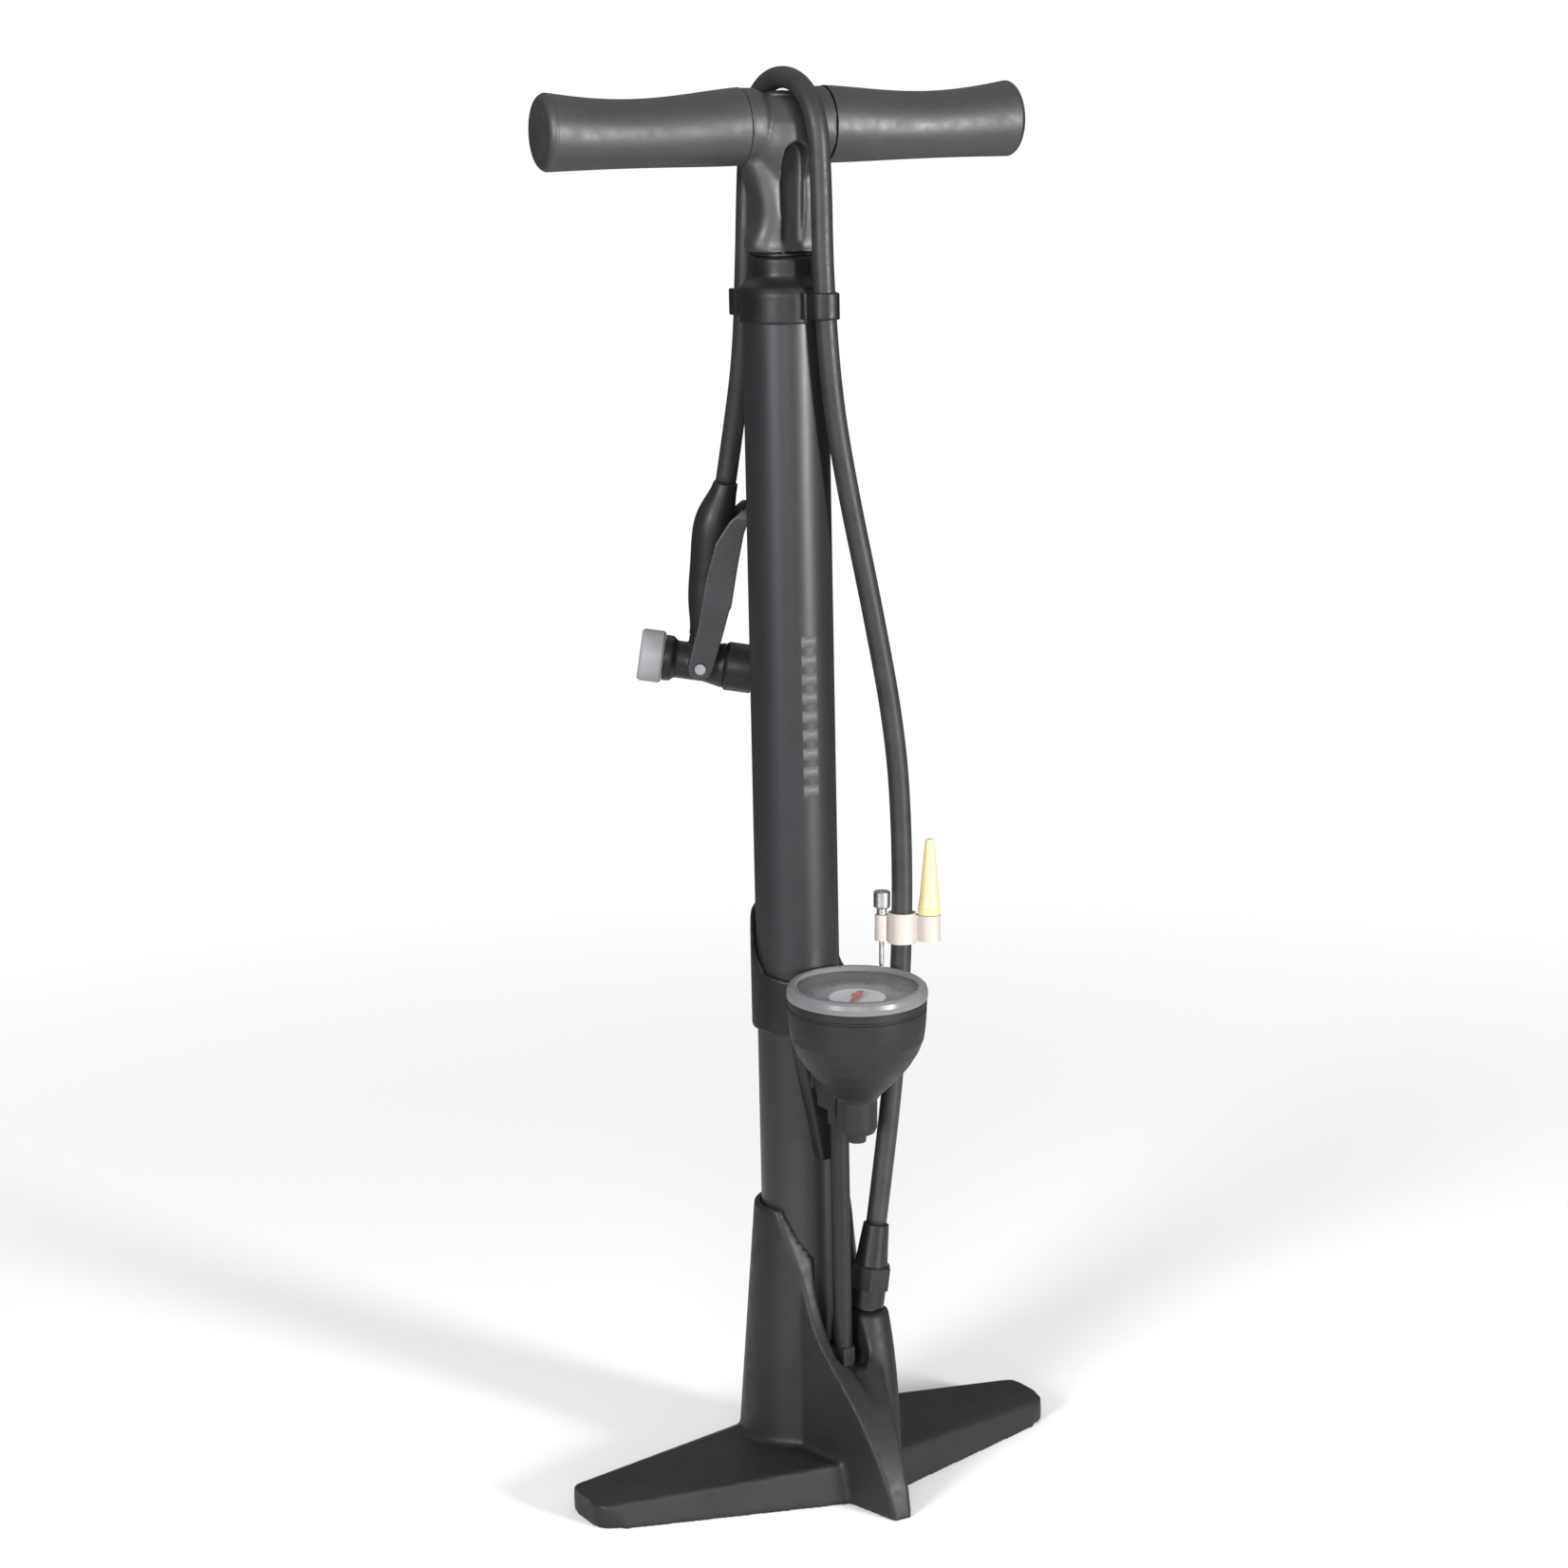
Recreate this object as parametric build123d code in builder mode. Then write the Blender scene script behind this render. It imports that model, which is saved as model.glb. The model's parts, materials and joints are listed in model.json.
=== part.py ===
"""Floor bike pump with a twin-port head, a dial gauge and a stowed hose.

Millimetres. The origin is on the ground on the barrel's axis, +Z up the barrel, and the
front, with the fin and the gauge, faces -Y. The handle is fully down.
"""
from build123d import *
from math import cos, pi, radians, sin, tan
import os

os.makedirs("parts", exist_ok=True)

# ---- driving dimensions ----
BARREL_R, BARREL_BORE_R = 19.0, 17.5
BARREL_FOOT_Z, BARREL_TOP_Z = 16.0, 546.0
FLOOR_T = 8.0                       # moulded floor of the base under the barrel
COLUMN_FOOT_R, COLUMN_TOP_R, COLUMN_TOP_Z = 33.0, 22.4, 129.0
WING_TIP_X, WING_TIP_H, WING_ROOT_H = 121.0, 12.2, 20.5
GAUGE_PIPE_AT, PIPE_R = (1.5, -32.0), 4.3
OUTLET_AT = (17.0, -27.0, 80.0)
OUTLET_LEAN = (0.16, 0.0, 1.0)
CAP_FOOT_Z, CAP_TOP_Z = 533.0, 562.0
ROD_R, BORE_GAP = 5.0, 0.06
HANDLE_YAW, HANDLE_Z, HANDLE_HALF = -8.0, 618.1, 113.5
HUB_R, STEM_FOOT_Z, ROD_TOP_Z = 19.0, 563.6, 612.0
GAUGE_AT, GAUGE_TILT, BEZEL_R = (0.0, -52.0, 240.3), 2.0, 31.5
HEAD_AT, NECK_TOP_AT = (-15.2, 57.4, 374.2), (-6.526, 45.332, 458.081)
PORT_HOLE_R, GROMMET_R = 4.4, 3.9
HOSE_R = 4.75

# ---- shared planes ----
yaw = radians(HANDLE_YAW)
handle_side = Plane(origin=(0, 0, HANDLE_Z), x_dir=(cos(yaw), sin(yaw), 0),
                    z_dir=(sin(yaw), -cos(yaw), 0))       # local x along the grips, y up
tilt = radians(GAUGE_TILT)
gauge = Plane(origin=GAUGE_AT, x_dir=(1, 0, 0), z_dir=(0, -sin(tilt), cos(tilt)))
gauge_cut = Plane(origin=GAUGE_AT, x_dir=(1, 0, 0), z_dir=(0, -cos(tilt), -sin(tilt)))
outlet = Plane(origin=OUTLET_AT, x_dir=(1, 0, 0), z_dir=OUTLET_LEAN)
neck_axis = (Vector(NECK_TOP_AT) - Vector(HEAD_AT)).normalized()
NECK_L = (Vector(NECK_TOP_AT) - Vector(HEAD_AT)).length
ACROSS = Vector(0.864, -0.503, 0)                         # the way the head's ports point
port_axis = (ACROSS - neck_axis * ACROSS.dot(neck_axis)).normalized()
head = Plane(origin=HEAD_AT, x_dir=port_axis, z_dir=neck_axis)
head_side = Plane(origin=HEAD_AT, x_dir=port_axis, z_dir=-head.y_dir)
port_line = Axis(HEAD_AT, port_axis)

# ---- the hose's route: points by hand, joined with arcs as large as the runs allow ----
RISER_ROUTE = [
    tuple(Vector(OUTLET_AT) + outlet.z_dir * 40), tuple(Vector(OUTLET_AT) + outlet.z_dir * 64),
    (34.4, -26, 188), (40.4, -24.8, 241), (42.2, -24, 295), (39.6, -24, 346),
    (27.6, -24, 408), (16.2, -24.2, 459), (8.2, -24.6, 503), (4.6, -25, 556),
]
HOSE_OVER = (3.0, -25.2, 638.5)
SPLIT = 0.3                                               # share of the last run on the riser
split_at = Vector(RISER_ROUTE[-1]) + (Vector(HOSE_OVER) - Vector(RISER_ROUTE[-1])) * SPLIT
DROP_ROUTE = [
    HOSE_OVER, (-1.0, 25.0, 638.5), (-5.0, 25.2, 563), (-4.6, 30.4, 517),
    tuple(Vector(NECK_TOP_AT) + neck_axis * 27), NECK_TOP_AT,
]


def arc_radii(points):
    """The largest arc for each corner: 0.45 of the shorter run over tan of half the turn."""
    radii = []
    for before, here, after in zip(points, points[1:], points[2:]):
        a, b = Vector(here) - Vector(before), Vector(after) - Vector(here)
        radii.append(0.45 * min(a.length, b.length) / tan(radians(a.get_angle(b)) / 2))
    return radii


def ring_section(plane, outline):
    """The closed outline of a turned piece, as (radius, height) points on a plane."""
    with BuildSketch(plane) as section:
        with BuildLine():
            Polyline(*outline, close=True)
        make_face()
    return section.sketch


# ---- base: column, fin, wings and outlet boss in one moulding ----
RIDGE = [(-85, 0), (-77, 22), (-62.8, 43), (-48.5, 58), (-32, 75), (-18, 109), (-10.3, COLUMN_TOP_Z)]
VALLEY = ((1.4, -36.5, 71.5, 7.5), (2.6, -62, 45.5, 0.8))      # x, y, z, radius at each end
FIN_FOOT = [(-25, 0), (-4.5, -86), (4.5, -86), (25, 0)]
FIN_TOP = [(-14, 0), (-5, -86), (5, -86), (14, 0)]
BACK_Y, TIP_R, TIP_MID_Y, TIP_DEEP = 40.0, 9.0, -6.2, 34.6
TROUGH_MID_X, TROUGH_W, TROUGH_FLOOR_Z, AIR_WAY_Z, AIR_WAY_R = 1.2, 16.0, 58.0, 12.0, 2.0
SCREW_CIRCLE_R, SCREWS, SCREW_FROM = 12.0, 3, 90
with BuildPart() as wings:
    for side in (1, -1):
        with BuildSketch(Plane(origin=(side * 9, 0, 0), x_dir=(0, 1, 0), z_dir=(1, 0, 0))):
            Polygon((-58, 0), (-53.5, 18.8), (-18, WING_ROOT_H), (14, WING_ROOT_H), (25, 16), (28, 0),
                    align=None)
        with BuildSketch(Plane(origin=(side * WING_TIP_X, 0, 0), x_dir=(0, 1, 0),
                               z_dir=(1, 0, 0))):
            Polygon((-23, 0), (-20, 11.2), (-12, WING_TIP_H), (5, WING_TIP_H), (9, 10.8), (11, 0),
                    align=None)
        loft(ruled=True)
    with BuildSketch(Plane.XY):
        Rectangle(2 * (WING_TIP_X - TIP_R), 120)
        with Locations((0, TIP_MID_Y)):
            RectangleRounded(2 * WING_TIP_X, TIP_DEEP, TIP_R)
    extrude(amount=WING_ROOT_H + 1, mode=Mode.INTERSECT)
with BuildPart() as base:
    with BuildSketch(Plane.XY):
        Circle(COLUMN_FOOT_R)
    with BuildSketch(Plane.XY.offset(COLUMN_TOP_Z)):
        Circle(COLUMN_TOP_R)
    loft()
    with BuildSketch(Plane.XY):
        Polygon(*FIN_FOOT, align=None)
    with BuildSketch(Plane.XY.offset(COLUMN_TOP_Z)):
        Polygon(*FIN_TOP, align=None)
    loft(ruled=True)
    with BuildSketch(Plane.YZ):
        with BuildLine():
            Spline(*RIDGE)
            Polyline(RIDGE[-1], (BACK_Y, COLUMN_TOP_Z), (BACK_Y, 0), RIDGE[0])
        make_face()
    extrude(amount=COLUMN_FOOT_R + 10, both=True, mode=Mode.INTERSECT)
    # cheek that carries the hose outlet down into the fin's right flank
    for z, x, y, r in ((0, 5, -62, 8.0), (28, 9, -50, 10.2), (56, 14, -37, 11.0),
                       (OUTLET_AT[2], OUTLET_AT[0], OUTLET_AT[1], 10.2)):
        with BuildSketch(Plane.XY.offset(z)):
            with Locations((x, y)):
                Circle(r)
    loft()
    # trough between the fin's left flank and the cheek, for the gauge pipe
    with BuildSketch(Plane.XY.offset(TROUGH_FLOOR_Z)):
        with Locations((TROUGH_MID_X, -31)):
            RectangleRounded(TROUGH_W, 26, 4)
    extrude(amount=COLUMN_TOP_Z, mode=Mode.SUBTRACT)
    with BuildSketch(Plane.XY.offset(OUTLET_AT[2])):
        with Locations((30, -38)):
            Rectangle(66, 40)
    extrude(amount=COLUMN_TOP_Z, mode=Mode.SUBTRACT)
    # valley that runs out of the trough, between the ridge and the cheek
    valley_dir = Vector(VALLEY[1][:3]) - Vector(VALLEY[0][:3])
    for x, y, z, r in VALLEY:
        with BuildSketch(Plane(origin=(x, y, z), z_dir=valley_dir)):
            Circle(r)
    loft(mode=Mode.SUBTRACT)
    add(wings.part)
    # barrel socket, air ways and the foot plug's screws
    with BuildSketch(Plane.XY.offset(FLOOR_T)):
        Circle(BARREL_R + 0.05)
    extrude(amount=COLUMN_TOP_Z, mode=Mode.SUBTRACT)
    with BuildSketch(Plane.XZ.offset(BARREL_R - 1)):
        with Locations((GAUGE_PIPE_AT[0], AIR_WAY_Z)):
            Circle(AIR_WAY_R)
    extrude(amount=-GAUGE_PIPE_AT[1] - BARREL_R + 3, mode=Mode.SUBTRACT)
    with BuildSketch(Plane(origin=(*GAUGE_PIPE_AT, AIR_WAY_Z),
                           z_dir=(OUTLET_AT[0] - GAUGE_PIPE_AT[0], OUTLET_AT[1] - GAUGE_PIPE_AT[1], 0))):
        Circle(AIR_WAY_R)
    extrude(amount=OUTLET_AT[0] - GAUGE_PIPE_AT[0] + 1, mode=Mode.SUBTRACT)
    with BuildSketch(Plane.XY.offset(AIR_WAY_Z - AIR_WAY_R)):
        with Locations(GAUGE_PIPE_AT, (OUTLET_AT[0], OUTLET_AT[1])):
            Circle(AIR_WAY_R)
    extrude(amount=OUTLET_AT[2], mode=Mode.SUBTRACT)
    with BuildSketch(Plane.XY):
        with PolarLocations(SCREW_CIRCLE_R, SCREWS, start_angle=SCREW_FROM):
            Circle(3.4)
    extrude(amount=3, mode=Mode.SUBTRACT)
    with BuildSketch(Plane.XY):
        with PolarLocations(SCREW_CIRCLE_R, SCREWS, start_angle=SCREW_FROM):
            Circle(1.7)
    extrude(amount=FLOOR_T, mode=Mode.SUBTRACT)
base.part.label = "base"
export_step(base.part, "parts/base.step")

with BuildPart() as base_screws:
    for low, high, r in ((0.6, 2.9, 3.1), (2.9, 12.9, 1.5)):
        with BuildSketch(Plane.XY.offset(low)):
            with PolarLocations(SCREW_CIRCLE_R, SCREWS, start_angle=SCREW_FROM):
                Circle(r)
        extrude(amount=high - low)
base_screws.part.label = "base_screws"
export_step(base_screws.part, "parts/base_screws.step")

# ---- barrel and its foot ----
with BuildPart() as barrel:
    with BuildSketch(Plane.XY.offset(BARREL_FOOT_Z)):
        Circle(BARREL_R)
        Circle(BARREL_BORE_R, mode=Mode.SUBTRACT)
    extrude(amount=BARREL_TOP_Z - BARREL_FOOT_Z)
barrel.part.label = "barrel"
export_step(barrel.part, "parts/barrel.step")

CHAMBER_R, ORIFICE_R, SEAT_Z, PLUG_TOP_Z = 4.2, 2.0, 20.0, 27.0
with BuildPart() as foot_plug:
    outline = [(0, FLOOR_T), (BARREL_R, FLOOR_T), (BARREL_R, BARREL_FOOT_Z), (17.4, BARREL_FOOT_Z),
               (17.4, 19.5), (15.6, 19.5), (15.6, 22.5), (17.4, 22.5), (17.4, PLUG_TOP_Z),
               (0, PLUG_TOP_Z)]
    revolve(ring_section(Plane.XZ, outline), axis=Axis.Z)
    with BuildSketch(Plane.XY.offset(FLOOR_T)):
        Circle(CHAMBER_R)
    extrude(amount=SEAT_Z - FLOOR_T, mode=Mode.SUBTRACT)
    with BuildSketch(Plane.XY.offset(FLOOR_T)):
        Circle(ORIFICE_R)
    extrude(amount=PLUG_TOP_Z, mode=Mode.SUBTRACT)
    with BuildSketch(Plane.XZ):
        with Locations((GAUGE_PIPE_AT[0], AIR_WAY_Z)):
            Circle(AIR_WAY_R)
    extrude(amount=BARREL_R + 1, mode=Mode.SUBTRACT)
    with BuildSketch(Plane.XY.offset(FLOOR_T)):
        with PolarLocations(SCREW_CIRCLE_R, SCREWS, start_angle=SCREW_FROM):
            Circle(1.55)
    extrude(amount=6, mode=Mode.SUBTRACT)
foot_plug.part.label = "foot_plug"
export_step(foot_plug.part, "parts/foot_plug.step")

with BuildPart() as foot_seal:
    with BuildSketch(Plane.XZ):
        with Locations((16.55, 21)):
            Circle(0.9)
    revolve(axis=Axis.Z)
foot_seal.part.label = "foot_seal"
export_step(foot_seal.part, "parts/foot_seal.step")

BALL_R = 3.0
BALL_Z = SEAT_Z - (BALL_R ** 2 - ORIFICE_R ** 2) ** 0.5 - 0.05
with BuildPart() as check_ball:
    with Locations((0, 0, BALL_Z)):
        Sphere(BALL_R)
check_ball.part.label = "check_ball"
export_step(check_ball.part, "parts/check_ball.step")

SPRING_WIRE_R, SPRING_R, SPRING_H = 0.3, 2.4, 6.8
with BuildPart() as valve_spring:
    with BuildLine(Plane.XY.offset(FLOOR_T + SPRING_WIRE_R + 0.05)):
        coil = Helix(pitch=SPRING_H / 4, height=SPRING_H, radius=SPRING_R)
    with BuildSketch(Plane(origin=coil @ 0, z_dir=coil % 0)):
        Circle(SPRING_WIRE_R)
    sweep(path=coil)
valve_spring.part.label = "valve_spring"
export_step(valve_spring.part, "parts/valve_spring.step")

# ---- top cap with its hose guides, bushing and bumper ----
GUIDE_GAP_R, GUIDE_R = 5.35, 7.2
FRONT_GUIDE_AT, BACK_GUIDE_AT = (5.5, -25.0), (-4.8, 27.6)
with BuildPart() as top_cap:
    outline = [(BARREL_R + 0.05, CAP_FOOT_Z), (20.2, CAP_FOOT_Z), (20.2, 546), (19.2, 549),
               (15.6, 552), (14.8, 554), (14.8, CAP_TOP_Z - 1), (13.8, CAP_TOP_Z),
               (9.05, CAP_TOP_Z), (9.05, BARREL_TOP_Z), (BARREL_R + 0.05, BARREL_TOP_Z)]
    revolve(ring_section(Plane.XZ, outline), axis=Axis.Z)
    with BuildSketch(Plane.XY.offset(535)):
        with Locations(FRONT_GUIDE_AT):
            Circle(GUIDE_R)
        with Locations((FRONT_GUIDE_AT[0] - 1, -20)):
            Rectangle(11, 6)
        with Locations(BACK_GUIDE_AT):
            Circle(GUIDE_R + 0.4)
        with Locations((BACK_GUIDE_AT[0], 21)):
            Rectangle(12, 8)
        Circle(BARREL_R + 1, mode=Mode.SUBTRACT)
    extrude(amount=12)
    with BuildSketch(Plane.XY.offset(530)):
        with Locations(FRONT_GUIDE_AT):
            Circle(GUIDE_GAP_R)
        with Locations((FRONT_GUIDE_AT[0] + 5, FRONT_GUIDE_AT[1] - 2)):
            Rectangle(10, 6.5, rotation=-18)
        with Locations(BACK_GUIDE_AT):
            Circle(GUIDE_GAP_R + 0.5)
        with Locations((BACK_GUIDE_AT[0], BACK_GUIDE_AT[1] + 7.2)):
            Rectangle(20, 12)
    extrude(amount=20, mode=Mode.SUBTRACT)
top_cap.part.label = "top_cap"
export_step(top_cap.part, "parts/top_cap.step")

with BuildPart() as rod_bushing:
    revolve(ring_section(Plane.XZ, [(ROD_R + BORE_GAP, 543), (12, 543), (12, 545.9), (9, 545.9),
                            (9, 558.8), (ROD_R + BORE_GAP, 558.8)]), axis=Axis.Z)
rod_bushing.part.label = "rod_bushing"
export_step(rod_bushing.part, "parts/rod_bushing.step")

with BuildPart() as stop_bumper:
    revolve(ring_section(Plane.XZ, [(5.8, 558.9), (8.95, 558.9), (8.95, 561.4), (8.3, CAP_TOP_Z),
                            (6.4, CAP_TOP_Z), (5.8, 561.4)]), axis=Axis.Z)
stop_bumper.part.label = "stop_bumper"
export_step(stop_bumper.part, "parts/stop_bumper.step")

# ---- plunger: rod, piston, cup seal, nut, thrust washer and handle bolt ----
PISTON_Z = 40.0
with BuildPart() as piston_rod:
    revolve(ring_section(Plane.XZ, [(0, PISTON_Z - 9), (3.9, PISTON_Z - 9), (3.9, PISTON_Z + 12),
                            (ROD_R, PISTON_Z + 12), (ROD_R, ROD_TOP_Z), (0, ROD_TOP_Z)]), axis=Axis.Z)
    with BuildSketch(Plane.XY.offset(ROD_TOP_Z - 20)):
        Circle(3)
    extrude(amount=20, mode=Mode.SUBTRACT)
piston_rod.part.label = "piston_rod"
export_step(piston_rod.part, "parts/piston_rod.step")

with BuildPart() as piston:
    revolve(ring_section(Plane.XZ, [(4, PISTON_Z), (13, PISTON_Z), (13, PISTON_Z + 4), (17.3, PISTON_Z + 4),
                            (17.3, PISTON_Z + 12), (4, PISTON_Z + 12)]), axis=Axis.Z)
piston.part.label = "piston"
export_step(piston.part, "parts/piston.step")

with BuildPart() as cup_seal:
    revolve(ring_section(Plane.XZ, [(13.1, PISTON_Z + 3.9), (17.44, PISTON_Z + 3.9), (17.44, PISTON_Z - 4),
                            (16.2, PISTON_Z - 4), (15.2, PISTON_Z + 1), (13.1, PISTON_Z + 1)]), axis=Axis.Z)
cup_seal.part.label = "cup_seal"
export_step(cup_seal.part, "parts/cup_seal.step")

with BuildPart() as piston_nut:
    with BuildSketch(Plane.XY.offset(PISTON_Z - 7)):
        RegularPolygon(6.5, 6, major_radius=False)
        Circle(3.95, mode=Mode.SUBTRACT)
    extrude(amount=6.9)
piston_nut.part.label = "piston_nut"
export_step(piston_nut.part, "parts/piston_nut.step")

WASHER_R = 12.8
with BuildPart() as thrust_washer:
    revolve(ring_section(Plane.XZ, [(ROD_R, CAP_TOP_Z + 0.3), (WASHER_R, CAP_TOP_Z + 0.3),
                            (WASHER_R, STEM_FOOT_Z - 0.3), (ROD_R, STEM_FOOT_Z - 0.3)]), axis=Axis.Z)
thrust_washer.part.label = "thrust_washer"
export_step(thrust_washer.part, "parts/thrust_washer.step")

with BuildPart() as handle_bolt:
    with BuildSketch(Plane.XY.offset(ROD_TOP_Z - 18)):
        Circle(2.95)
    extrude(amount=18)
    with BuildSketch(Plane.XY.offset(ROD_TOP_Z)):
        Circle(7.6)
    extrude(amount=1.6)
    with BuildSketch(Plane.XY.offset(ROD_TOP_Z + 1.6)):
        RegularPolygon(5, 6, major_radius=False)
    extrude(amount=4.4)
    chamfer(handle_bolt.faces().sort_by(Axis.Z)[-1].edges(), 0.5)
handle_bolt.part.label = "handle_bolt"
export_step(handle_bolt.part, "parts/handle_bolt.step")

# ---- handle: hub and stem, two grips, two end caps ----
GRIP_IN_X, CAP_IN_X, ARM_R, ARM_END_X, SLEEVE_GAP = 20.0, 107.5, 10.0, 104.0, 0.05
GRIP_END_R = 16.65
GRIP_STATIONS = ((0, 16.8, 0), (0.25, 15.7, -1.0), (0.5, 14.75, -1.65), (0.78, 15.2, -1.2),
                 (1, GRIP_END_R, 0))                     # share of the grip's length, radius, lift
HUB_BELL = [(0, 588), (11.8, 588), (12.6, 593), (14.2, 598), (16.4, 602.5), (18.2, 606.5), (HUB_R, 610)]
HUB_DOME = [(18.2, 619.5), (16.5, 622.8), (14.5, 626.2), (12, 629.2), (8.14, 631.7), (5, 632.8), (0, 633.2)]
SADDLE = [(-GRIP_IN_X, 0), (-GRIP_IN_X, 16.6), (-13, 16.4), (-8.5, 13.8), (8.5, 13.8), (13, 16.4),
          (GRIP_IN_X, 16.6), (GRIP_IN_X, 0)]             # dips where the hose crosses the hub
handle_line = Axis((0, 0, HANDLE_Z), (cos(yaw), sin(yaw), 0))
with BuildPart() as handle_core:
    revolve(ring_section(Plane.XZ, HUB_BELL + [(HUB_R, 613.9)] + HUB_DOME), axis=Axis.Z)
    revolve(ring_section(handle_side, SADDLE), axis=handle_line)
    revolve(ring_section(handle_side, [(-ARM_END_X, 0), (-ARM_END_X, ARM_R), (ARM_END_X, ARM_R),
                               (ARM_END_X, 0)]), axis=handle_line)
    for z, wide, deep in ((STEM_FOOT_Z, 26.4, 22), (580, 27.6, 23), (588, 29.4, 23.6), (594, 32.2, 23),
                          (598.5, 35.6, 22), (602, 38.8, 20.6), (605, 39.7, 19)):
        with BuildSketch(Plane(origin=(0, 0, z), x_dir=(cos(yaw), sin(yaw), 0), z_dir=(0, 0, 1))):
            RectangleRounded(wide, deep, 7)
    loft()
    # channels down the stem's front and back
    for side in (1, -1):
        with BuildSketch(handle_side.offset(side * 8.2)):
            with BuildLine():
                low, high, half = STEM_FOOT_Z - HANDLE_Z + 4, -12.4, 5.6
                Line((-half + 1, low), (half - 1, low))
                Line((half - 1, low), (half, high))
                ThreePointArc((half, high), (0, high + half), (-half, high))
                Line((-half, high), (-half + 1, low))
            make_face()
        extrude(amount=side * 15, mode=Mode.SUBTRACT)
    with BuildSketch(Plane.XY.offset(STEM_FOOT_Z - 1)):
        Circle(ROD_R + BORE_GAP)
    extrude(amount=60, mode=Mode.SUBTRACT)
    with BuildSketch(Plane.XY.offset(ROD_TOP_Z - 0.3)):
        Circle(8.2)
    extrude(amount=30, mode=Mode.SUBTRACT)
handle_core.part.label = "handle_core"
export_step(handle_core.part, "parts/handle_core.step")

with BuildPart() as hub_plug:
    revolve(ring_section(Plane.XZ, [(0, 626), (6.6, 626), (6.6, 620), (HUB_DOME[4][0], 620)] + HUB_DOME[4:]),
            axis=Axis.Z)
hub_plug.part.label = "hub_plug"
export_step(hub_plug.part, "parts/hub_plug.step")

for name, side in (("grip_right", 1), ("grip_left", -1)):
    with BuildPart() as grip:
        for share, r, lift in GRIP_STATIONS:
            x = GRIP_IN_X + 0.1 + share * (CAP_IN_X - GRIP_IN_X - 0.1)
            with BuildSketch(Plane(origin=handle_side.from_local_coords((side * x, lift, 0)),
                                   z_dir=handle_line.direction)):
                Circle(r)
        loft()
        with BuildSketch(Plane(origin=handle_side.origin, z_dir=handle_line.direction)):
            Circle(ARM_R + SLEEVE_GAP)
        extrude(amount=side * (CAP_IN_X + 1), mode=Mode.SUBTRACT)
    grip.part.label = name
    export_step(grip.part, f"parts/{name}.step")

for name, side in (("grip_cap_right", 1), ("grip_cap_left", -1)):
    with BuildPart() as grip_cap:
        with BuildSketch(handle_side):
            with BuildLine():
                Polyline((side * (HANDLE_HALF - 5), GRIP_END_R), (side * (CAP_IN_X + 0.1), GRIP_END_R),
                         (side * (CAP_IN_X + 0.1), 0), (side * HANDLE_HALF, 0))
                ThreePointArc((side * HANDLE_HALF, 0), (side * (HANDLE_HALF - 0.6), 7.5),
                              (side * (HANDLE_HALF - 2), GRIP_END_R - 4.3))
                ThreePointArc((side * (HANDLE_HALF - 2), GRIP_END_R - 4.3),
                              (side * (HANDLE_HALF - 3.1), GRIP_END_R - 1.3),
                              (side * (HANDLE_HALF - 5), GRIP_END_R))
            make_face()
        revolve(axis=handle_line)
    grip_cap.part.label = name
    export_step(grip_cap.part, f"parts/{name}.step")

# ---- gauge: clamp, cup, bezel, lens, dial, movement ----
CUP_RIM = [(28.9, 0), (28.9, -3), (31.2, -3), (31.2, -6.4), (30.6, -6.9), (30.6, -7.7), (31.1, -8.2)]
CUP_BOWL = [(31.0, -11), (30.7, -16), (29.9, -22), (27.6, -28), (24, -34), (19.6, -39.5), (14.8, -44.5),
            (10.8, -48.5), (9.2, -51), (9.2, -64), (8.2, -66.4), (4.6, -67), (4.2, -71)]
CUP_FOOT = CUP_BOWL[-1][1]
gauge_line = Axis(GAUGE_AT, (0, -sin(tilt), cos(tilt)))
with BuildPart() as gauge_clamp:
    with BuildSketch(Plane.XY.offset(180)):
        Circle(21.5)
        with Locations((0, 25)):
            Rectangle(9, 10)
        with Locations((0, -33)):
            RectangleRounded(17, 26, 3)
    extrude(amount=100)
    # oblique top, tapered web below the cup
    with BuildSketch(Plane.YZ):
        Polygon((-48, 176), (-48, 233.5), (-22, 236.6), (-4, 240), (7, 252), (14, 266), (32, 275),
                (32, 214), (-18, 212), (-24, 194), (-29.2, 186), (-29.2, 182), (-38.8, 182),
                (-42, 176), align=None)
    extrude(amount=40, both=True, mode=Mode.INTERSECT)
    # gusset that narrows down the barrel's front, behind the gauge pipe
    with BuildSketch(Plane.XZ.offset(16)):
        Polygon((-4, 154), (4, 154), (14.5, 212), (14.5, 234), (-14.5, 234), (-14.5, 212), align=None)
    extrude(amount=9.6)
    with BuildSketch(gauge_cut):
        Polygon((0, 8), *[(r + 0.12, z) for r, z in [(31.6, 8), (31.6, -5)] + CUP_BOWL],
                (0, CUP_FOOT - 0.2), align=None)
    revolve(axis=gauge_line, mode=Mode.SUBTRACT)
    with BuildSketch(Plane.XY.offset(150)):
        Circle(BARREL_R + 0.05)
        with Locations((0, 26)):
            Rectangle(2, 16)
    extrude(amount=140, mode=Mode.SUBTRACT)
    with BuildSketch(Plane.XY.offset(170)):
        with Locations(GAUGE_PIPE_AT):
            Circle(PIPE_R + 0.05)
    extrude(amount=20, mode=Mode.SUBTRACT)
    with BuildSketch(Plane.YZ):
        with Locations((26, 232), (26, 250)):
            Circle(1.65)
    extrude(amount=20, both=True, mode=Mode.SUBTRACT)
gauge_clamp.part.label = "gauge_clamp"
export_step(gauge_clamp.part, "parts/gauge_clamp.step")

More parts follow.
